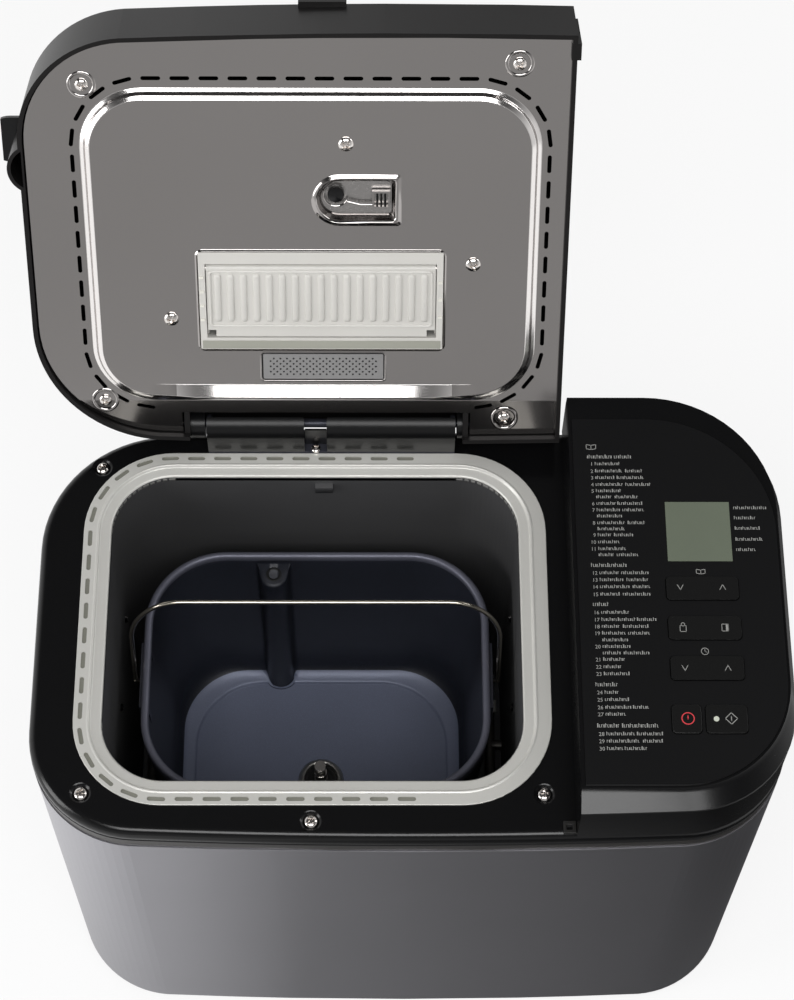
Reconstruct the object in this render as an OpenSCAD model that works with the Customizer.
// Automatic bread machine with a dispenser in its lid and a lift-out pan.
// Millimetres, +Z up, x to the right, y to the back. The origin is on the floor under the middle of the body.
// The lid is drawn in its closed place and turned open about its hinge.

/* [Body] */
// Distance from the left side of the body to the chamber flange
left_margin = 23.95; // [22:0.05:30]
// Distance from the front and back of the body to the chamber flange
end_margin = 17.75; // [16.5:0.05:24]
// Distance from the chamber flange to the control panel
mid_margin = 10.95; // [10.5:0.05:14]
// Radius of the bow of the front and back
bow_r = 3500; // [2500:100:6000]
// Radius of the two front corners
front_r = 60; // [50:1:66]
// Radius of the two back corners
back_r = 71; // [60:1:76]
// Height of the rubber feet
foot_h = 4; // [3:0.5:8]
// Radius of a rubber foot
foot_r = 9; // [7:0.5:12]
// Height of the top edge of the metal cladding
cladding_z = 288; // [280:1:294]
// Thickness of the metal cladding
cladding_t = 1.2; // [0.8:0.1:2]
// Height of the face of the top frame
frame_z = 306.8; // [304:0.2:308]
// Wall of the plastic mouldings
wall = 2.4; // [2:0.1:3]

/* [Chamber] */
// Front to back place of the middle of the baking chamber
chamber_y = 1.9; // [0:0.1:4]
// Clearance between the pan rim and the chamber wall at each side
pan_side = 14.35; // [13.6:0.05:16]
// Clearance between the pan rim and the chamber wall at the front and back
pan_end = 15.75; // [14:0.05:18]
// Corner radius of the chamber mouth
chamber_r = 34; // [28:1:40]
// Width of the flange at the sides of the mouth
flange_side = 15.4; // [14:0.1:16]
// Width of the flange at the front and back of the mouth
flange_end = 14.5; // [13.5:0.1:15]
// Distance from one flange slot to the next
slot_pitch = 14.7; // [13:0.1:18]
// Length of a slot in the flange
slot_l = 9.8; // [8:0.1:11]
// Width of a slot in the flange
slot_w = 2.4; // [1.4:0.1:2.8]
// Height of the chamber floor
chamber_floor = 66; // [62:1:68]
// Thickness of the chamber sheet
sheet = 1.2; // [0.8:0.1:1.6]
// Radius of the tubular heater
heater_r = 3.2; // [2.8:0.1:3.6]

/* [Pan] */
// Width of the pan over its rolled rim
pan_w = 198; // [180:1:222]
// Depth of the pan over its rolled rim
pan_d = 150; // [140:1:166]
// Corner radius of the pan rim
pan_r = 46; // [40:1:50]
// Height of the pan rim
pan_rim_z = 240; // [236:1:246]
// Height of the inside of the pan floor
pan_floor = 92; // [90:1:96]
// Inward taper of each pan wall
pan_taper = 8; // [4:0.5:9]
// Wall of the pan
pan_t = 1.6; // [1.2:0.1:2.2]
// Radius of the post on the back wall of the pan
post_r = 9.5; // [7:0.5:11]
// Sideways place of the post from the middle of the pan
post_x = -26; // [-32:1:-18]
// Length of the handle arms from the pivot to the bar
arm_l = 66; // [60:1:68]
// Backward lean of the handle
lean = 18.3; // [10:0.1:30]
// Radius of the handle wire
wire_r = 1.3; // [1:0.1:1.6]

/* [Drive] */
// Front to back place of the drive shaft
drive_y = -9.5; // [-12:0.5:2]
// Radius of the kneading shaft and the drive shaft
shaft_r = 4; // [3.5:0.1:4.5]
// Radius of the end of the kneading shaft that takes the blade
blade_r = 3.8; // [3.2:0.1:4.2]
// Radius of the large pulley
pulley_r = 42; // [38:1:46]
// Ratio of the two pulleys
pulley_ratio = 5; // [4:0.5:5.5]
// Distance from the motor shaft to the right side of the body
motor_in = 66; // [62:1:72]
// Radius of the motor can
motor_r = 30; // [26:1:33]
// Radial gap of a running shaft
run_gap = 0.05; // [0.02:0.01:0.09]
// Gap between separate pieces
gap = 0.4; // [0.3:0.05:0.5]

/* [Lid] */
// Angle the lid stands open
lid_open = 119.7; // [0:0.1:120]
// Distance from the hinge pin to the back of the body
hinge_in = 5.3; // [5:0.1:6.5]
// Height of the hinge pin
hinge_z = 323; // [322:0.1:325]
// Height of the closed lid and of the control panel
lid_z = 347.3; // [346:0.1:350]
// Height of the underside of the closed lid plate at its edge
plate_z = 311; // [310.5:0.1:312]
// Gap between the lid and the control panel
lid_gap = 3.4; // [2.4:0.1:5]
// Distance the stepped rim in the lid plate reaches past the chamber mouth at each side
rim_side = 7.15; // [6:0.05:8]
// Distance the stepped rim reaches past the chamber mouth at the front and back
rim_end = 2.75; // [1:0.05:3.5]
// Corner radius of the stepped rim
rim_r = 34; // [28:1:40]

/* [Dispenser] */
// Width of the dispenser flap
flap_w = 123; // [110:1:138]
// Depth of the dispenser flap
flap_d = 44; // [40:1:49]
// Width of the dispenser frame at each end of the flap
frame_side = 4; // [3.6:0.1:5]
// Width of the dispenser frame at the front and back of the flap
frame_end = 7.5; // [6.5:0.1:9]
// Number of ribs on the flap
rib_count = 17; // [9:1:21]
// Distance from the left side of the body to the dispenser cover
cover_in = 8; // [6:0.5:12]
// Depth of the dispenser cover
cover_d = 133; // [120:1:149]
// Width of the finger grip of the cover
grip_w = 26; // [20:1:28]

/* [Panel] */
// Width of the control panel from its left wall to the side of the body
panel_w = 115.6; // [108:0.1:128]
// Width of a rocker key
key_w = 38.6; // [36:0.2:40]
// Depth of a rocker key
key_d = 13.6; // [12:0.2:14.6]
// Front to back distance of one rocker to the next
key_pitch = 23.1; // [20:0.1:24]
// Depth of the two round-cornered buttons
button_d = 16; // [14:0.2:18]
// Height of the keys over the film
key_h = 0.7; // [0.5:0.1:1.2]
// Width of the display
display_w = 34.8; // [30:0.2:38]
// Depth of the display
display_d = 35.6; // [30:0.2:38]

/* [Hidden] */
$fn = 64;

chamber_w = pan_w + 2 * pan_side;
chamber_d = pan_d + 2 * pan_end;
flange_w = chamber_w + 2 * flange_side;
flange_d = chamber_d + 2 * flange_end;
flange_r = chamber_r + flange_end;
rim_w = chamber_w + 2 * rim_side;
rim_d = chamber_d + 2 * rim_end;

// half width and half depth of the body
hw = (left_margin + flange_w + mid_margin + panel_w) / 2;
hd = flange_d / 2 + end_margin;
chamber_x = left_margin + flange_w / 2 - hw;
panel_x = hw - panel_w;
lid_x = panel_x - lid_gap;
motor_x = hw - motor_in;
hinge_y = hd - hinge_in;

// body outline: corners meet the bow just inside it, at these places
blend = 0.05;
function corner_y(r) = bow_r - hd - sqrt(pow(bow_r - r, 2) - pow(hw - r, 2)) - blend;
function corner_x(r) = (hw - r) * bow_r / (bow_r - r);

flange_t = 1;
flange_base = frame_z - flange_t;
lip_z = frame_z - 1.5;
liner_top = lip_z - flange_t;

mouth_clear = 1.2 + gap;

pan_z0 = pan_floor - pan_t;
pivot_z = pan_rim_z - 14;
ear_x = pan_w / 2 + 2;
arm_x = ear_x + 3.2;
bend_r = 30;
rim_tube = 2.2;

small_r = pulley_r / pulley_ratio;
belt_z = 28;
belt_h = 8;
belt_t = 1.6;
shaft_z0 = 18;
cord_x = hw - 84;
cord_z = 34;
coupling_z = 76;
seal_r = 12;

pin_r = 2.5;
lid_bottom = frame_z + 1.6;
plate_t = 1.2;
step_1 = plate_z - 2;
step_2 = plate_z - 4;
lip_w = 9.5;
window_x = chamber_x + 4.4;
vent_x = chamber_x + 5.1;
vent_y = chamber_y + rim_d / 2 - 23.7;
vent_w = 66;
vent_d = 16;
window_w = flap_w + 2 * frame_side;
window_d = flap_d + 2 * frame_end;
window_y = vent_y - 11.5 - window_d / 2;
latch_x = chamber_x + 23.8;
latch_y = window_y - window_d / 2 - 30.6;
flap_z = step_2;
flap_axis_y = window_y - flap_d / 2 + 3;
flap_axis_z = flap_z + 2;
flap_pin_r = 1.2;
tub_w = window_w - 5;
tub_d = window_d - 7;
tub_top = lid_z - 5.8;
pocket_z = lid_z - 2.9;
cover_edge = chamber_x + rim_w / 2 - 42.2;
cover_w = cover_edge + hw - cover_in;
cover_x = cover_edge - cover_w / 2;
cover_pin_r = 0.85;
cover_axis_x = cover_edge + 1.6;
cover_axis_z = pocket_z + 1.3;
cover_y = vent_y - 10.7 - cover_d / 2;
grip_y = cover_y - 40.5;

film_z = lid_z - 1;
deck = 2.5;
film_l = panel_x + 2.4;
film_end = hd - 16;
film_right = hw - 5;
film_rb = 68.5;
film_rf = 58;
key_x = hw - 47;
key_y = 4;
stop_x = key_x - 12.4;
stop_w = 15.4;
start_x = key_x + 8.4;
start_w = 21.6;
lamp_x = start_x - 5.4;
button_y = 36 - film_end;
display_x = key_x - 0.1;
display_y = film_end - 69;
pivot_key_z = film_z - 4.5;
key_pin_r = 1.2;
board_z = film_z - 13;
carrier_z = film_z - 8.6;
carrier_top = film_z - deck - 0.3;
carrier_w = 66;
carrier_d = 152;
carrier_y = -14;

hinge_l = chamber_x - 60.7;
hinge_r = chamber_x + 78.3;
notch_l = hinge_l - 9;
notch_r = hinge_r + 4;
notch_y = hd - 19;

module circle_at(x, y, r) translate([x, y]) circle(r = r, $fn = 96);

module outline(o = 0) {
    for (s = [-1, 1]) {
        circle_at(s * (hw - front_r), corner_y(front_r), front_r - o);
        circle_at(s * (hw - back_r), -corner_y(back_r), back_r - o);
    }
    translate([-hw + o, corner_y(front_r)]) square([2 * (hw - o), -corner_y(back_r) - corner_y(front_r)]);
    intersection() {
        translate([0, bow_r - hd]) circle(r = bow_r - o, $fn = 720);
        translate([-corner_x(front_r), -hd - 1]) square([2 * corner_x(front_r), hd + 2]);
    }
    intersection() {
        translate([0, hd - bow_r]) circle(r = bow_r - o, $fn = 720);
        translate([-corner_x(back_r), 0]) square([2 * corner_x(back_r), hd + 2]);
    }
}

module rr(w, d, r) {
    for (x = [-1, 1], y = [-1, 1]) circle_at(x * (w / 2 - r), y * (d / 2 - r), r);
    square([w - 2 * r, d], center = true);
    square([w, d - 2 * r], center = true);
}

module slab(z0, z1) translate([0, 0, z0]) linear_extrude(z1 - z0) children();

module ring(w, d, r, t, z0, z1) slab(z0, z1) difference() {
    rr(w, d, r);
    rr(w - 2 * t, d - 2 * t, r - t);
}

module box(x0, x1, y0, y1, z0, z1) translate([x0, y0, z0]) cube([x1 - x0, y1 - y0, z1 - z0]);

module at_chamber() translate([chamber_x, chamber_y, 0]) children();
module at_drive() translate([chamber_x, drive_y, 0]) children();
module at_motor() translate([motor_x, drive_y, 0]) children();
module lid_pose() translate([0, hinge_y, hinge_z]) rotate([-lid_open, 0, 0])
    translate([0, -hinge_y, -hinge_z]) children();
module along_x(x0, x1, y, z, r) translate([x0, y, z]) rotate([0, 90, 0]) cylinder(r = r, h = x1 - x0);

// a place on a rounded rectangle, walked from the middle of its back to the left: x, y, heading
function arc_at(x, y, r, t) = [x + r * cos(t), y + r * sin(t), t + 90];
function loop_at(w, d, r, s) = let(a = w / 2 - r, b = d - 2 * r, q = PI / 2 * r, k = 180 / PI / r)
    s < a ? [-s, d / 2, 180]
    : s < a + q ? arc_at(-a, b / 2, r, 90 + (s - a) * k)
    : s < a + q + b ? [-w / 2, b / 2 - (s - a - q), 270]
    : s < a + 2 * q + b ? arc_at(-a, -b / 2, r, 180 + (s - a - q - b) * k)
    : s < 3 * a + 2 * q + b ? [-a + (s - a - 2 * q - b), -d / 2, 0]
    : s < 3 * a + 3 * q + b ? arc_at(a, -b / 2, r, 270 + (s - 3 * a - 2 * q - b) * k)
    : s < 3 * a + 3 * q + 2 * b ? [w / 2, -b / 2 + (s - 3 * a - 3 * q - b), 90]
    : s < 3 * a + 4 * q + 2 * b ? arc_at(a, b / 2, r, (s - 3 * a - 3 * q - 2 * b) * k)
    : [a - (s - 3 * a - 4 * q - 2 * b), d / 2, 180];

module slots(w, d, r, s0, s1, n, l, t) for (i = [0:n - 1]) {
    p = loop_at(w, d, r, s0 + (s1 - s0) * i / (n - 1));
    translate([p[0], p[1]]) rotate(p[2]) {
        square([l - t, t], center = true);
        for (e = [-1, 1]) translate([e * (l - t) / 2, 0]) circle(r = t / 2, $fn = 24);
    }
}

// a tube along a rounded rectangle
module tube_loop(w, d, r, t) {
    for (i = [0:3]) translate([(i == 0 || i == 3 ? 1 : -1) * (w / 2 - r), (i < 2 ? 1 : -1) * (d / 2 - r), 0])
        rotate(i * 90) rotate_extrude(angle = 90, $fn = 96) translate([r, 0]) circle(r = t, $fn = 32);
    for (y = [-1, 1]) translate([-(w / 2 - r), y * d / 2, 0]) rotate([0, 90, 0])
        cylinder(r = t, h = w - 2 * r, $fn = 32);
    for (x = [-1, 1]) translate([x * w / 2, -(d / 2 - r), 0]) rotate([-90, 0, 0])
        cylinder(r = t, h = d - 2 * r, $fn = 32);
}

// a cross-head screw standing on z = 0, head upward
module screw(r, h) difference() {
    union() {
        cylinder(r = r, h = h * 0.45, $fn = 32);
        translate([0, 0, h * 0.45]) cylinder(r1 = r, r2 = r * 0.6, h = h * 0.55, $fn = 32);
    }
    for (a = [0, 90]) rotate(a) translate([-r * 0.62, -r * 0.13, h * 0.5]) cube([r * 1.24, r * 0.26, h]);
}

// one ring of the pan wall, drawn in from the rim
module pan_slice(z, inset) for (x = [-1, 1], y = [-1, 1])
    translate([x * (pan_w / 2 - pan_r), y * (pan_d / 2 - pan_r), z])
        cylinder(r = pan_r - inset, h = 0.01, $fn = 40);

module pan_form(o, z0, z1) hull() {
    t = rim_tube + o;
    pan_slice(z1, t);
    pan_slice(z0 + 22, t + pan_taper);
    pan_slice(z0 + 12, t + pan_taper + 2.4);
    pan_slice(z0 + 5, t + pan_taper + 7.2);
    pan_slice(z0 + 1.4, t + pan_taper + 13);
    pan_slice(z0, t + pan_taper + 17);
}

module panel_zone(o) intersection() {
    outline(o);
    translate([panel_x, -hd]) square([hw, 2 * hd]);
}

module film_shape() intersection() {
    union() {
        circle_at(film_right - film_rb, film_end - film_rb, film_rb);
        circle_at(film_right - film_rf, film_rf - film_end, film_rf);
        translate([film_l, -film_end]) square([film_right - film_rf - film_l, film_end]);
        translate([film_l, 0]) square([film_right - film_rb - film_l, film_end]);
        translate([film_l, film_rf - film_end])
            square([film_right - film_l, 2 * film_end - film_rf - film_rb]);
    }
    translate([film_l, -hd]) square([hw, 2 * hd]);
}

// places of the keys: sideways, front to back, width, depth
KEYS = [[key_x, key_y, key_w, key_d], [key_x, key_y - key_pitch, key_w, key_d],
    [key_x, key_y - 2 * key_pitch, key_w, key_d],
    [stop_x, button_y, stop_w, button_d], [start_x, button_y, start_w, button_d]];

module key_holes(o) for (k = KEYS) translate([k[0], k[1]]) rr(k[2] + 2 * o, k[3] + 2 * o, 2.4 + o);
module display_hole(o) translate([display_x, display_y])
    square([display_w + 2 * o, display_d + 2 * o], center = true);

foot_x = hw - 54;
foot_y = hd - 43;
FEET = [[-foot_x, -foot_y], [foot_x, -foot_y], [-foot_x, foot_y], [foot_x, foot_y]];

module rubber_feet() color("#1c1c1c") for (p = FEET) translate([p[0], p[1], 0]) {
    cylinder(r1 = foot_r - 1, r2 = foot_r, h = foot_h);
    cylinder(r = 3.5, h = foot_h + 4);
}

module base_tray() color("#26262a") difference() {
    union() {
        slab(foot_h, foot_h + 3) outline(6);
        slab(foot_h, foot_h + 18) difference() {
            outline(cladding_t + gap);
            outline(cladding_t + gap + 2.6);
        }
        slab(foot_h, foot_h + 3) outline(cladding_t + gap + 1);
    }
    for (p = FEET) translate([p[0], p[1], foot_h - 1]) cylinder(r = 3.7, h = 6);
    for (x = [-110:12:-10]) box(x, x + 4, -45, 20, foot_h - 1, foot_h + 4);
    for (x = [100:10:170]) box(x, x + 4, -50, 30, foot_h - 1, foot_h + 4);
}

module body_shell() color("#9b9a9c") difference() {
    slab(foot_h + 0.8, cladding_z) difference() {
        outline(0);
        outline(cladding_t);
    }
    for (x = [-120:12:120]) box(x, x + 5, hd - 12, hd + 3, 226, 252);
    translate([cord_x, hd - 14, cord_z]) rotate([-90, 0, 0]) cylinder(r = 9, h = 20);
}

module body_band() color("#34332f") slab(cladding_z + 0.3, frame_z - 10.4) difference() {
    outline(0.6);
    outline(4.2);
}

module top_frame() color("#0e0e0f") difference() {
    union() {
        slab(flange_base - 3, flange_base) outline(0.2);
        slab(frame_z - 10, flange_base - 2.9) difference() {
            outline(0.2);
            outline(3);
        }
        at_chamber() slab(frame_z - 12, flange_base - 2.9) mouth(mouth_clear + 2.5);
    }
    at_chamber() slab(frame_z - 13, frame_z + 1) mouth(mouth_clear);
    at_chamber() slab(liner_top - 0.3, frame_z + 1) sunk_ring(0.3);
    box(panel_x + 8, hw - 22, -70, 70, flange_base - 4, frame_z + 1);
    for (p = FRAME_SCREWS) translate([p[0], p[1], flange_base - 1.6])
        cylinder(r1 = 3.2, r2 = 5.6, h = 1.7, $fn = 32);
}

FRAME_SCREWS = [[32.2 - hw, hd - 24.5], [30.1 - hw, 26.8 - hd], [chamber_x - 0.2, 11.2 - hd],
    [panel_x - 16.2, 26.2 - hd]];
module frame_screws() color("#c8c8cc") for (p = FRAME_SCREWS)
    translate([p[0], p[1], flange_base - 1.6]) screw(3.1, 3);

module chamber_rim() color("#c9c8c4") at_chamber() {
    sw = flange_w - 7.4;
    sd = flange_d - 6.8;
    sr = flange_r - 3.5;
    run = sw / 2 - sr + PI / 2 * sr * 2 + sd - 2 * sr;
    n = floor((run + sw / 2 - sr + 101) / slot_pitch) + 1;
    slab(flange_base, frame_z) difference() {
        rr(flange_w, flange_d, flange_r);
        sunk_ring(0);
        slots(sw, sd, sr, -50.5, run + sw / 2 - sr + 50.5, n, slot_l, slot_w);
    }
    slab(liner_top, frame_z) difference() {
        sunk_ring(0);
        sunk_ring(-flange_t);
    }
    slab(liner_top, lip_z) difference() {
        sunk_ring(0);
        mouth(0);
    }
}
// the mouth of the chamber and the sunken ring round it, each grown by o
module mouth(o) rr(chamber_w + 2 * o, chamber_d + 2 * o, chamber_r + o);
module sunk_ring(o) rr(chamber_w + 15 + 2 * o, chamber_d + 14 + 2 * o, chamber_r + 7 + o);

module chamber_liner() color("#4a4a4b") difference() {
    union() {
        at_chamber() ring(chamber_w + 2 * sheet, chamber_d + 2 * sheet, chamber_r + sheet, sheet,
            chamber_floor, liner_top);
        at_chamber() slab(chamber_floor - sheet, chamber_floor)
            rr(chamber_w + 2 * sheet, chamber_d + 2 * sheet, chamber_r + sheet);
        at_chamber() box(-0.5, 9.5, chamber_d / 2 - 3, chamber_d / 2 + 0.2, liner_top - 13, liner_top - 7);
    }
    at_drive() translate([0, 0, chamber_floor - 3]) cylinder(r = 11.4, h = 6);
}

module chamber_rivets() color("#b9b9bd") at_chamber() {
    for (s = [-1, 1]) for (y = [-12, 44]) translate([s * (chamber_w / 2), y, 214])
        rotate([0, -s * 90, 0]) cylinder(r1 = 2.4, r2 = 1.6, h = 1.4, $fn = 24);
}

module heater_element() color("#6d6a66") at_chamber() {
    translate([0, 0, 88]) tube_loop(chamber_w - 16, chamber_d - 16, chamber_r - 8, heater_r);
    for (y = [-14, 14]) translate([chamber_w / 2 - 8, y, 88]) rotate([0, 90, 0])
        cylinder(r = heater_r, h = 7.6, $fn = 32);
}

module heater_clips() color("#a5a5a7") at_chamber() for (s = [-1, 1]) {
    for (y = [-40, 40]) clip(s * (chamber_w / 2 - 8), y, 0);
    for (x = [-60, 60]) clip(x, s * (chamber_d / 2 - 8), 90);
}
module clip(x, y, a) translate([x, y, 0]) rotate(a) {
    difference() {
        translate([0, 0, 88]) rotate([90, 0, 0]) cylinder(r = heater_r + 1.4, h = 8, center = true, $fn = 32);
        translate([0, 0, 88]) rotate([90, 0, 0])
            cylinder(r = heater_r + 0.02, h = 9, center = true, $fn = 32);
        box(-6, 6, -5, 5, 89.6, 96);
    }
    box(-1.2, 1.2, -4, 4, chamber_floor, 88 - heater_r - 0.6);
}

module temperature_sensor() color("#d2d2d6") at_chamber() {
    translate([chamber_w / 2 - 0.2, -54, 150]) rotate([0, -90, 0]) {
        cylinder(r = 5, h = 1.6, $fn = 32);
        cylinder(r = 2.4, h = 9, $fn = 32);
        translate([0, 0, 9]) sphere(r = 2.4, $fn = 32);
    }
}

module pan_seat() color("#8d8d90") at_drive() {
    difference() {
        translate([0, 0, chamber_floor]) cylinder(r = 57, h = 12, $fn = 96);
        translate([0, 0, chamber_floor - 1]) cylinder(r = 53.2, h = 14, $fn = 96);
    }
    for (a = [45:90:315]) rotate(a) translate([52.2, -7, chamber_floor]) cube([1.8, 14, 3]);
    difference() {
        translate([0, 0, chamber_floor]) cylinder(r = 54, h = 1.6, $fn = 96);
        translate([0, 0, chamber_floor - 1]) cylinder(r = 20, h = 4);
    }
}

module drive_bearing() color("#b58f52") at_drive() difference() {
    union() {
        translate([0, 0, 42]) cylinder(r = 10.8, h = chamber_floor + 2 - 42);
        translate([0, 0, chamber_floor - sheet - 2.4]) cylinder(r = 16, h = 2.2);
    }
    translate([0, 0, 40]) cylinder(r = shaft_r + run_gap, h = 40);
}

module drive_shaft() color("#b8b8bc") at_drive() translate([0, 0, shaft_z0])
    cylinder(r = shaft_r, h = coupling_z + 2 - shaft_z0);

// two lugs stand up from the driven hub, one on each side of the wing under the pan
module drive_coupling() color("#8f8f94") at_drive() difference() {
    union() {
        translate([0, 0, chamber_floor + 3]) cylinder(r = 16, h = coupling_z - chamber_floor - 3);
        for (a = [0, 180]) rotate(a) translate([0, 0, coupling_z - 0.1]) intersection() {
            cylinder(r = 16, h = 8.1);
            translate([-20, 3.6, 0]) cube([40, 7, 9]);
        }
    }
    translate([0, 0, chamber_floor]) cylinder(r = shaft_r, h = 20);
    translate([0, 0, coupling_z]) cylinder(r = 3 + shaft_r + gap, h = 10);
}

module pan_coupler() color("#7d7d82") at_drive() difference() {
    union() {
        translate([-13, -3, coupling_z + 2.6]) cube([26, 6, 5.2]);
        translate([0, 0, coupling_z + 2.6]) cylinder(r = 7, h = 1.2);
        translate([0, 0, coupling_z + 7]) cylinder(r = 3 + shaft_r, h = pan_z0 - 0.8 - coupling_z - 7);
    }
    translate([0, 0, coupling_z + 4]) cylinder(r = shaft_r, h = 20);
}

module large_pulley() color("#e4e2da") at_drive() difference() {
    union() {
        translate([0, 0, belt_z]) cylinder(r = pulley_r, h = belt_h + 1, $fn = 96);
        translate([0, 0, belt_z - 2]) cylinder(r = pulley_r + 2.6, h = 2, $fn = 96);
        translate([0, 0, belt_z - 4]) cylinder(r = 9, h = belt_h + 8);
    }
    translate([0, 0, belt_z - 6]) cylinder(r = shaft_r, h = 30);
    for (a = [0:60:300]) rotate(a) translate([(pulley_r + 9) / 2, 0, belt_z - 4])
        cylinder(r = 9, h = 20, $fn = 48);
}

module motor_pulley() color("#c9c7c0") at_motor() difference() {
    union() {
        translate([0, 0, belt_z]) cylinder(r = small_r, h = belt_h + 1);
        translate([0, 0, belt_z - 2]) cylinder(r = small_r + 2.4, h = 2);
    }
    translate([0, 0, belt_z - 6]) cylinder(r = 3, h = 30);
}

// the belt wraps both pulleys, a hair off their faces
module drive_belt() color("#1b1b1b") at_drive() {
    span = motor_x - chamber_x;
    q = acos((pulley_r - small_r) / span);
    slab(belt_z + 0.5, belt_z + belt_h) difference() {
        polygon(belt_points(span, q, 0.3 + belt_t));
        polygon(belt_points(span, q, 0.3));
    }
}
function belt_points(span, q,
    o) = concat([for (i = [0:60]) let(t = q + (360 - 2 * q) * i / 60) [(pulley_r + o) * cos(t),
        (pulley_r + o) * sin(t)]],
    [for (i = [0:24]) let(t = -q + 2 * q * i / 24) [span + (small_r + o) * cos(t), (small_r + o) * sin(t)]]);

module motor() color("#77777b") at_motor() difference() {
    union() {
        translate([0, 0, 50]) cylinder(r = motor_r, h = 72, $fn = 64);
        translate([0, 0, 46]) cylinder(r = 12, h = 4);
        for (s = [-1, 1]) translate([s * (motor_r - 2) - 6, -10, 62]) cube([12, 20, 48]);
        translate([0, 0, 122]) cylinder(r = 12, h = 5);
    }
    translate([0, 0, 40]) cylinder(r = 3 + run_gap, h = 60);
}

module motor_shaft() color("#c2c2c6") at_motor() translate([0, 0, 22]) cylinder(r = 3, h = 70);

module motor_bracket() color("#8c8c8f") difference() {
    union() {
        at_motor() box(-36, 36, -26, 26, 43.4, 45.7);
        for (s = [-1, 1]) at_motor() box(s * 34 - 1.2, s * 34 + 1.2, -26, 26, foot_h + 3.3, 45);
    }
    at_motor() translate([0, 0, 40]) cylinder(r = 12.5, h = 10);
    at_motor() box(-40, 0, -small_r - 12, small_r + 12, 20, 42);
}

module heat_shield() color("#b4b4b8") {
    box(chamber_x + chamber_w / 2 + 9, chamber_x + chamber_w / 2 + 10.2, -84, 84, 62, frame_z - 14);
}

module power_board() color("#2c6b3c") {
    translate([hw - 66, hd - 60, 0]) {
        box(-34, 34, -29, 29, 60, 61.6);
        for (x = [-24, 22], y = [-19, 19]) translate([x, y, foot_h + 3.2])
            cylinder(r = 3, h = 60 - foot_h - 3.2, $fn = 32);
        box(-26, -2, -11, 13, 61.6, 82);
        box(4, 22, -13, -3, 61.6, 74);
        translate([12, 13, 61.6]) cylinder(r = 7, h = 22, $fn = 32);
    }
}

module cord_gland() color("#161616") translate([cord_x, 0, cord_z]) rotate([-90, 0, 0]) difference() {
    union() {
        translate([0, 0, hd - 11]) cylinder(r = 8.6, h = 11, $fn = 48);
        translate([0, 0, hd + 0.1]) cylinder(r = 12, h = 3, $fn = 48);
        translate([0, 0, hd - 11]) cylinder(r = 11, h = 3, $fn = 48);
        translate([0, 0, hd - 1]) cylinder(r = 8.6, h = 2, $fn = 48);
    }
    translate([0, 0, hd - 20]) cylinder(r = 3.6, h = 30, $fn = 48);
}

module baking_pan() color("#3a3b42") {
    difference() {
        at_chamber() pan_form(0, pan_z0, pan_rim_z);
        difference() {
            at_chamber() pan_form(pan_t, pan_floor, pan_rim_z + 1);
            at_chamber() translate([post_x, pan_d / 2 - rim_tube - post_r - pan_taper + 2.6,
                pan_floor - 1]) difference() {
                cylinder(r = post_r, h = pan_rim_z - 12 - pan_floor + 1, $fn = 64);
                translate([0, 0, pan_rim_z - 12 - pan_floor - 0.6])
                    cylinder(r1 = post_r * 0.45, r2 = post_r * 0.62, h = 2, $fn = 32);
            }
        }
        at_drive() translate([0, 0, pan_z0 - 1]) cylinder(r = 8.2, h = 10, $fn = 64);
    }
    at_chamber() translate([0, 0, pan_rim_z]) difference() {
        tube_loop(pan_w - 2 * rim_tube, pan_d - 2 * rim_tube, pan_r - rim_tube, rim_tube);
        slab(-3, 0) rr(pan_w - 2 * rim_tube, pan_d - 2 * rim_tube, pan_r - rim_tube);
    }
}

module pan_base_ring() color("#a9a9ad") at_drive() difference() {
    union() {
        translate([0, 0, chamber_floor + 5]) cylinder(r = 48, h = pan_z0 - 0.05 - chamber_floor - 5,
            $fn = 96);
        for (a = [0:90:270]) rotate(a) translate([46, -6, chamber_floor + 5]) cube([6, 12, 3]);
    }
    translate([0, 0, chamber_floor]) cylinder(r = 45.5, h = 60, $fn = 96);
}

module pan_ears() color("#55565c") at_chamber() for (s = [-1, 1]) difference() {
    union() {
        translate([s * ear_x + (s > 0 ? -1.6 : 0), -20, pivot_z - 16]) cube([1.6, 40, 24]);
        for (y = [-18, 18]) translate([s > 0 ? pan_w / 2 - rim_tube - 1.3 : -ear_x, y - 2,
            pivot_z - 16]) cube([ear_x - pan_w / 2 + rim_tube + 1.3, 4, 24]);
    }
    along_x(-ear_x - 3, ear_x + 3, 0, pivot_z, wire_r + run_gap);
    pan_form(-0.05, pan_z0, pan_rim_z);
}

module pan_handle() color("#d8d6cf") translate([chamber_x, chamber_y, pivot_z]) rotate([-lean, 0, 0]) {
    for (s = [-1, 1]) {
        translate([s > 0 ? ear_x - 2.6 : -arm_x, 0, 0]) rotate([0, 90, 0])
            cylinder(r = wire_r, h = arm_x - ear_x + 2.6, $fn = 32);
        translate([s * arm_x, 0, 0]) cylinder(r = wire_r, h = arm_l - bend_r, $fn = 32);
        translate([s * arm_x, 0, 0]) sphere(r = wire_r, $fn = 32);
        translate([s * (arm_x - bend_r), 0, arm_l - bend_r]) rotate([90, 0, 0])
            rotate(s > 0 ? 0 : 90) rotate_extrude(angle = 90, $fn = 96) translate([bend_r, 0])
                circle(r = wire_r, $fn = 32);
    }
    translate([-(arm_x - bend_r), 0, arm_l]) rotate([0, 90, 0])
        cylinder(r = wire_r, h = 2 * (arm_x - bend_r), $fn = 32);
}

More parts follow.
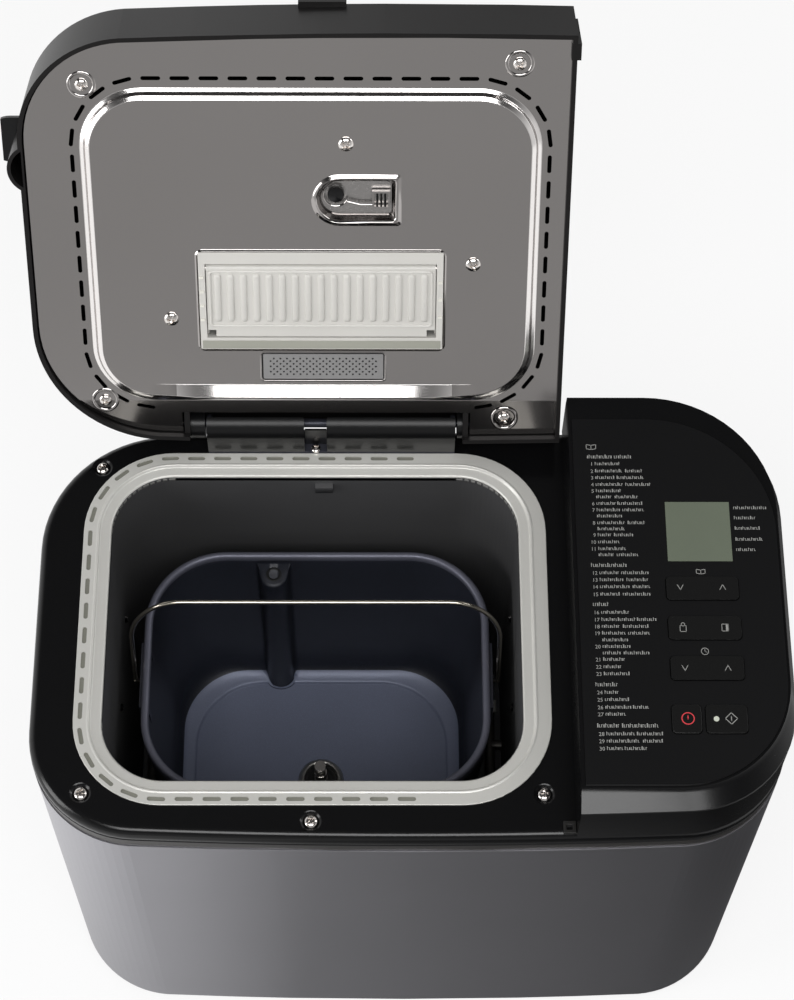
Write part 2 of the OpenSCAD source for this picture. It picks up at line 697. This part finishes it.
module shaft_seal() color("#9a9a9e") at_drive() difference() {
    union() {
        translate([0, 0, pan_floor]) cylinder(r1 = seal_r + 2, r2 = seal_r, h = 4, $fn = 64);
        translate([0, 0, pan_z0 - 0.05]) cylinder(r = 8.1, h = 4, $fn = 64);
    }
    translate([0, 0, pan_floor - 5]) cylinder(r = shaft_r + run_gap, h = 20, $fn = 64);
    translate([0, 0, pan_floor + 1.2]) cylinder(r = seal_r - 3.4, h = 6, $fn = 64);
}

module kneading_shaft() color("#c9c9ce") at_drive() {
    translate([0, 0, coupling_z + 4]) cylinder(r = shaft_r, h = pan_floor + 4 - coupling_z, $fn = 64);
    translate([0, 0, pan_floor + 7.9]) cylinder(r = blade_r, h = 8.1, $fn = 64);
    difference() {
        translate([0, 0, pan_floor + 15.9]) cylinder(r = blade_r - 0.2, h = 10.1, $fn = 64);
        box(blade_r * 0.8, 6, -6, 6, pan_floor + 15, pan_floor + 30);
    }
}

module control_housing() color("#101011") difference() {
    union() {
        slab(frame_z, film_z - 6) panel_zone(0.6);
        hull() {
            slab(film_z - 6.01, film_z - 6) panel_zone(0.6);
            slab(film_z - 1.21, film_z - 1.2) intersection() {
                panel_zone(1);
                translate([0, -film_end - 5]) square([300, 400]);
            }
            slab(film_z - 0.01, film_z) intersection() {
                panel_zone(2);
                translate([0, -film_end - 1.6]) square([300, 400]);
            }
        }
    }
    slab(frame_z - 1, film_z - deck) intersection() {
        outline(0.6 + wall);
        translate([panel_x + wall, -film_end - 3]) square([hw, 2 * film_end + 14]);
    }
    slab(film_z - 6, film_z + 1) key_holes(gap);
    slab(film_z - 6, film_z + 1) display_hole(gap);
}

// the film is a thin sheet in one piece, open over each key and the display
module control_film() color("#1a1a1b") slab(film_z, lid_z) difference() {
    film_shape();
    key_holes(gap);
    display_hole(0.25);
}

module display_lens() color("#6b7060") slab(film_z - 0.2, lid_z) display_hole(0);

module lcd_panel() color("#59604f") translate([display_x, display_y, 0]) {
    slab(film_z - 4.2, film_z - 0.5) square([display_w, display_d], center = true);
    slab(board_z + 2, film_z - 4.2) square([display_w - 4, display_d - 4], center = true);
}

module control_board() color("#2f6f44") {
    slab(board_z, board_z + 1.6) translate([key_x, carrier_y])
        square([carrier_w - 4, carrier_d - 4], center = true);
    for (k = [0:2]) for (s = [-1, 1]) translate([KEYS[k][0] + s * 13, KEYS[k][1], board_z + 1.6])
        cylinder(r = 2.4, h = 2, $fn = 24);
    for (k = [3, 4]) translate([KEYS[k][0], KEYS[k][1], board_z + 1.6]) cylinder(r = 2.4, h = 2, $fn = 24);
    for (x = [-27, 27], y = [-70, 70]) translate([key_x + x, carrier_y + y, board_z + 1.6])
        cylinder(r = 2.6, h = carrier_z - board_z - 1.6, $fn = 24);
}

// the rockers turn on pins in the walls between the wells of this plate
module key_carrier() color("#2a2a2c") difference() {
    slab(carrier_z, carrier_top) translate([key_x, carrier_y]) square([carrier_w, carrier_d], center = true);
    slab(carrier_z - 1, carrier_top + 1) key_holes(gap + 0.2);
    slab(carrier_z - 1, carrier_top + 1) display_hole(gap);
    for (k = [0:2]) translate([KEYS[k][0], KEYS[k][1] - key_d / 2 - 3.4, pivot_key_z])
        rotate([-90, 0, 0]) cylinder(r = key_pin_r + run_gap, h = key_d + 6.8, $fn = 32);
}

module rocker(k) translate([KEYS[k][0], KEYS[k][1], 0]) {
    difference() {
        slab(carrier_z + 0.6, lid_z + key_h) rr(key_w, key_d, 2.4);
        slab(carrier_z, film_z - 2.8) square([key_w - 9, key_d - 3], center = true);
    }
    for (s = [-1, 1]) translate([s * 13 - 1.5, -1.5, board_z + 5.4]) cube([3, 3, film_z - 2 - board_z - 5.4]);
    translate([0, -key_d / 2 - 3, pivot_key_z]) rotate([-90, 0, 0])
        cylinder(r = key_pin_r, h = key_d + 6, $fn = 32);
}
module menu_rocker() color("#1d1d1f") rocker(0);
module option_rocker() color("#1d1d1f") rocker(1);
module timer_rocker() color("#1d1d1f") rocker(2);

module button(k, o) translate([KEYS[k][0], KEYS[k][1], 0]) {
    slab(film_z - 5.4, lid_z + key_h) rr(KEYS[k][2], KEYS[k][3], 2.4);
    slab(film_z - 6.8, film_z - 5.4) rr(KEYS[k][2] - 1, KEYS[k][3] - 1, 1.9);
    translate([-1.5, -1.5, board_z + 5]) cube([3, 3, film_z - 6 - board_z - 5]);
}
module stop_button() color("#1d1d1f") button(3);
module start_button() color("#1d1d1f") difference() {
    button(4);
    translate([lamp_x, button_y, film_z - 2]) cylinder(r = 1.5, h = 6, $fn = 32);
}
module start_lamp() color("#9fb58f") translate([lamp_x, button_y, film_z - 2])
    cylinder(r = 1.45, h = lid_z + key_h - film_z + 2, $fn = 32);

module hinge_bracket() color("#b9b8b4") difference() {
    union() {
        box(hinge_l, hinge_r, chamber_y + flange_d / 2 + 0.15, hinge_y + 4, frame_z - 0.95, frame_z + 1);
        for (x = [hinge_l, hinge_r - 2.4]) {
            along_x(x, x + 2.4, hinge_y, hinge_z, 4.8);
            box(x, x + 2.4, hinge_y - 4.4, hinge_y + 4, frame_z, hinge_z);
        }
    }
    along_x(hinge_l - 1, hinge_r + 1, hinge_y, hinge_z, pin_r);
}

module hinge_screws() color("#c8c8cc") for (y = [8.3, 2.5])
    translate([chamber_x, hinge_y - y, frame_z + 1]) screw(2.2, 1.6);

module hinge_pin() color("#c4c4c8") along_x(notch_l - 4, notch_r + 4, hinge_y, hinge_z, pin_r);

module lid_catch() color("#2b2b2d") difference() {
    box(lid_x - 3.4, panel_x - 0.3, 3.6 - hd, 10.4 - hd, flange_base, frame_z + 1.2);
    box(lid_x - 1.8, lid_x + 1.4, 5.6 - hd, 8.4 - hd, frame_z - 1.4, frame_z + 2);
}

LID_SCREWS = [[35.5 - hw, 30 - hd], [lid_x - 29, 18 - hd], [37 - hw, hd - 27.6], [lid_x - 31, hd - 15.8]];
INNER_SCREWS = [[chamber_x + 18.2, chamber_y - rim_d / 2 + 29.8], [chamber_x - rim_w / 2 + 43.9,
    chamber_y + rim_d / 2 - 53.6],
    [chamber_x + rim_w / 2 - 34.8, chamber_y + 6.5]];

module lid_zone(o) intersection() {
    outline(o);
    translate([-hw - 1, -hd - 1]) square([hw + 1 + lid_x + 0.5 - o, 2 * hd + 2]);
}

module lid_shell() color("#111112") lid_pose() {
    difference() {
        union() {
            slab(lid_bottom, pocket_z + 0.4) difference() {
                lid_zone(0.5);
                lid_zone(0.5 + wall);
            }
            slab(pocket_z + 0.3, lid_z) lid_zone(0.5);
            slab(tub_top, pocket_z + 0.4) translate([cover_x + 2, cover_y]) rr(cover_w + 9, cover_d + 3, 14);
            slab(lid_bottom, lid_z - 4) difference() {
                translate([-hw + 8, grip_y]) circle(r = 14, $fn = 64);
                lid_zone(1);
            }
            box(chamber_x - 6.5, chamber_x + 18.5, -hd - 2.2, -hd + 4, lid_z - 4.4, lid_z - 0.6);
            box(lid_x - 3, lid_x + 2, -hd + 6, -hd + 15, lid_bottom, lid_z - 6);
            for (x = [notch_l - 3, notch_r]) box(x, x + 3, notch_y, hd - 2.2, lid_bottom + 3.9, tub_top + 4);
            along_x(notch_l - 3, notch_l + 2, hinge_y, hinge_z, 4.6);
            along_x(notch_r - 2, notch_r + 3, hinge_y, hinge_z, 4.6);
        }
        slab(lid_bottom - 1, lid_z - 6) difference() {
            translate([-hw + 8, grip_y]) circle(r = 12, $fn = 64);
            lid_zone(2);
        }
        slab(pocket_z, lid_z + 1) translate([cover_x, cover_y])
            rr(cover_w + 2 * gap, cover_d + 2 * gap, 12 + gap);
        box(cover_edge - 10, cover_edge + 4.6, cover_y - cover_d / 2 - gap,
            cover_y + cover_d / 2 + gap, pocket_z, lid_z + 1);
        translate([cover_axis_x, cover_y - cover_d / 2 - 4, cover_axis_z]) rotate([-90, 0, 0])
            cylinder(r = cover_pin_r + run_gap, h = cover_d + 8, $fn = 32);
        box(-hw - 20, -hw + 20, grip_y - grip_w / 2 - gap, grip_y + grip_w / 2 + gap, pocket_z, lid_z + 1);
        slab(tub_top - 1, pocket_z + 1) translate([window_x, window_y]) square([tub_w, tub_d], center = true);
        slab(pocket_z - 6, lid_z + 1) translate([vent_x, vent_y + 1]) for (i = [-4:4])
            translate([i * 7 - 2, -5]) square([4, 10]);
        box(notch_l, notch_r, notch_y + 1, hd + 5, lid_bottom - 1, hinge_z + 8);
        along_x(notch_l - 6, notch_r + 6, hinge_y, hinge_z, pin_r + run_gap);
    }
    for (p = LID_SCREWS) boss(p[0], p[1], plate_z + plate_t + 0.05, pocket_z + 0.5);
    for (p = INNER_SCREWS) boss(p[0], p[1], step_2 + plate_t + 0.05, tub_top + 0.1);
}
module boss(x, y, z0, z1) translate([x, y, z0]) cylinder(r = 4.5, h = z1 - z0, $fn = 32);

// a stamped sheet in three steps, with slots round its rim, the dispenser window, the vent and the latch pocket
row_w = rim_w + 9;
row_d = rim_d + 12;
row_r = rim_r + 6;
row_start = row_w / 2 - row_r + 8;
row_end = 2 * (row_w + row_d - 4 * row_r) + 2 * PI * row_r - row_start;
module lid_plate() color("#807d7b") lid_pose() difference() {
    union() {
        slab(plate_z, plate_z + plate_t) difference() {
            lid_zone(3.7);
            at_chamber() rr(rim_w - 2, rim_d - 2, rim_r - 1);
            translate([notch_l - 4, notch_y]) square([notch_r - notch_l + 8, 30]);
            at_chamber() slots(row_w, row_d, row_r, row_start, row_end, 42, 8.4, 1.7);
        }
        at_chamber() {
            ring(rim_w, rim_d, rim_r, 1, step_1, plate_z + plate_t);
            slab(step_1, step_1 + plate_t) difference() {
                rr(rim_w, rim_d, rim_r);
                rr(rim_w - 2 * lip_w, rim_d - 2 * lip_w, rim_r - lip_w);
            }
            ring(rim_w - 2 * lip_w + 2, rim_d - 2 * lip_w + 2, rim_r - lip_w + 1, 1, step_2,
                step_1 + plate_t);
            slab(step_2, step_2 + plate_t) rr(rim_w - 2 * lip_w + 2, rim_d - 2 * lip_w + 2,
                rim_r - lip_w + 1);
        }
        slab(step_2 - 0.2, step_2 + 6) latch_pocket(1.2);
    }
    slab(step_2 - 1, step_2 + 4.8) latch_pocket(0);
    slab(step_2 - 1, plate_z + 2) translate([window_x, window_y])
        square([window_w + 0.5, window_d + 0.5], center = true);
    slab(step_2 - 1, plate_z + 2) translate([vent_x, vent_y]) square([vent_w, vent_d], center = true);
    for (p = LID_SCREWS) translate([p[0], p[1], plate_z - 1]) cylinder(r = 1.9, h = 4, $fn = 24);
    for (p = INNER_SCREWS) translate([p[0], p[1], step_2 - 1]) cylinder(r = 1.9, h = 4, $fn = 24);
    for (x = [36 - hw, lid_x - 17]) translate([x, chamber_y, plate_z - 1]) cylinder(r = 1.6, h = 4, $fn = 24);
}
module latch_pocket(o) translate([latch_x, latch_y]) {
    translate([-9, 0]) circle(r = 12 + o, $fn = 48);
    translate([-9, -12 - o]) square([29.5 + o, 24 + 2 * o]);
}

module lid_screws() color("#cdcdd0") lid_pose() {
    for (p = LID_SCREWS) translate([p[0], p[1], plate_z]) rotate([180, 0, 0]) lid_screw(3.4, 2);
    for (p = INNER_SCREWS) translate([p[0], p[1], step_2]) rotate([180, 0, 0]) lid_screw(2.4, 1.4);
}
module lid_screw(r, h) {
    screw(r, h);
    translate([0, 0, -1.2]) cylinder(r = 1.8, h = 1.3, $fn = 24);
}

// an open-ended box from the window in the plate up to the cover
module dispenser_tub() color("#d9d7d2") lid_pose() translate([window_x, window_y, 0]) difference() {
    union() {
        slab(flap_z - 0.6, flap_z + 3) square([window_w, window_d], center = true);
        slab(flap_z + 2.9, tub_top + 1) square([tub_w - 0.2, tub_d - 0.2], center = true);
    }
    slab(flap_z + 3, tub_top + 2) square([tub_w - 3.8, tub_d - 3.8], center = true);
    slab(flap_z - 2, flap_axis_z + 2.4 + gap) square([flap_w + 1, flap_d + 1], center = true);
    along_x(-flap_w / 2 - 3, flap_w / 2 + 3, flap_axis_y - window_y, flap_axis_z, flap_pin_r + 0.01);
}

module dispenser_flap() color("#cfcdc8") lid_pose() {
    difference() {
        union() {
            box(window_x - flap_w / 2, window_x + flap_w / 2, flap_axis_y, window_y + flap_d / 2,
                flap_z, flap_z + 1.8);
            along_x(window_x - flap_w / 2, window_x + flap_w / 2, flap_axis_y, flap_axis_z, 2.4);
            for (i = [0:rib_count - 1]) translate([window_x + (i - (rib_count - 1) / 2) * (flap_w - 12) / (rib_count - 1) - 0.8, flap_axis_y + 4, flap_z - 1]) cube([1.6, flap_d - 10, 1.1]);
        }
        along_x(window_x - flap_w / 2 - 1, window_x + flap_w / 2 + 1, flap_axis_y, flap_axis_z,
            flap_pin_r + run_gap);
    }
}

module flap_pin() color("#c4c4c8") lid_pose() along_x(window_x - flap_w / 2 - 2.8,
    window_x + flap_w / 2 + 2.8, flap_axis_y, flap_axis_z, flap_pin_r);

module flap_latch() color("#b7b7bb") lid_pose() translate([latch_x, latch_y, 0]) {
    slab(step_2 + 0.8, step_2 + 4.6) translate([-9, 0]) circle(r = 7.5, $fn = 48);
    slab(step_2 + 0.4, step_2 + 1.6) translate([-2, -3.2]) square([20, 6.4]);
    slab(step_2 + 1.6, step_2 + 4.6) translate([12, -5]) square([5, 10]);
}

module vent_grille() color("#74716f") lid_pose() translate([vent_x, vent_y, 0])
    slab(step_2 + 0.3, step_2 + 1.3) difference() {
    square([vent_w - 0.4, vent_d - 0.4], center = true);
    for (r = [-3:2:3]) for (i = [-8:7]) translate([(i + 0.5) * 3.6, r * 1.65]) circle(r = 0.55, $fn = 16);
    for (r = [-2:2:2]) for (i = [-8:8]) translate([i * 3.6, r * 1.65]) circle(r = 0.55, $fn = 16);
}

module vent_duct() color("#3b3b3d") lid_pose() translate([vent_x, vent_y + 0.6, 0])
    slab(step_2 + plate_t + 0.4, pocket_z + 0.2) difference() {
    square([vent_w + 3, vent_d + 3], center = true);
    square([vent_w, vent_d], center = true);
}

module dispenser_cover() color("#131314") lid_pose() {
    slab(pocket_z + 0.2, lid_z) translate([cover_x, cover_y]) rr(cover_w, cover_d, 12);
    box(cover_edge - 13, cover_axis_x, cover_y - cover_d / 2 + 0.3, cover_y + cover_d / 2 - 0.3,
        pocket_z + 0.3, cover_axis_z + 0.8);
    translate([cover_axis_x, cover_y - cover_d / 2 + 0.3, cover_axis_z]) rotate([-90, 0, 0])
        cylinder(r = 1.1, h = cover_d - 0.6, $fn = 32);
    translate([cover_axis_x, cover_y - cover_d / 2 - 3, cover_axis_z]) rotate([-90, 0, 0])
        cylinder(r = cover_pin_r, h = cover_d + 6, $fn = 32);
    box(-hw - 8, -hw + 12, grip_y - grip_w / 2, grip_y + grip_w / 2, pocket_z + 0.3, lid_z - 0.1);
    translate([-hw - 8, grip_y, pocket_z + 0.3]) intersection() {
        cylinder(r = grip_w / 2, h = lid_z - 0.4 - pocket_z, $fn = 48);
        translate([-5, -20, -1]) cube([5.1, 40, 9]);
    }
}

rubber_feet();
base_tray();
body_shell();
body_band();
top_frame();
frame_screws();
chamber_rim();
chamber_liner();
chamber_rivets();
heater_element();
heater_clips();
temperature_sensor();
pan_seat();
drive_bearing();
drive_shaft();
drive_coupling();
large_pulley();
drive_belt();
motor();
motor_shaft();
motor_pulley();
motor_bracket();
heat_shield();
power_board();
cord_gland();
baking_pan();
pan_base_ring();
pan_ears();
pan_handle();
shaft_seal();
kneading_shaft();
pan_coupler();
control_housing();
control_film();
display_lens();
lcd_panel();
control_board();
key_carrier();
menu_rocker();
option_rocker();
timer_rocker();
stop_button();
start_button();
start_lamp();
hinge_bracket();
hinge_pin();
hinge_screws();
lid_catch();
lid_shell();
lid_plate();
lid_screws();
dispenser_tub();
dispenser_flap();
flap_pin();
flap_latch();
vent_grille();
vent_duct();
dispenser_cover();
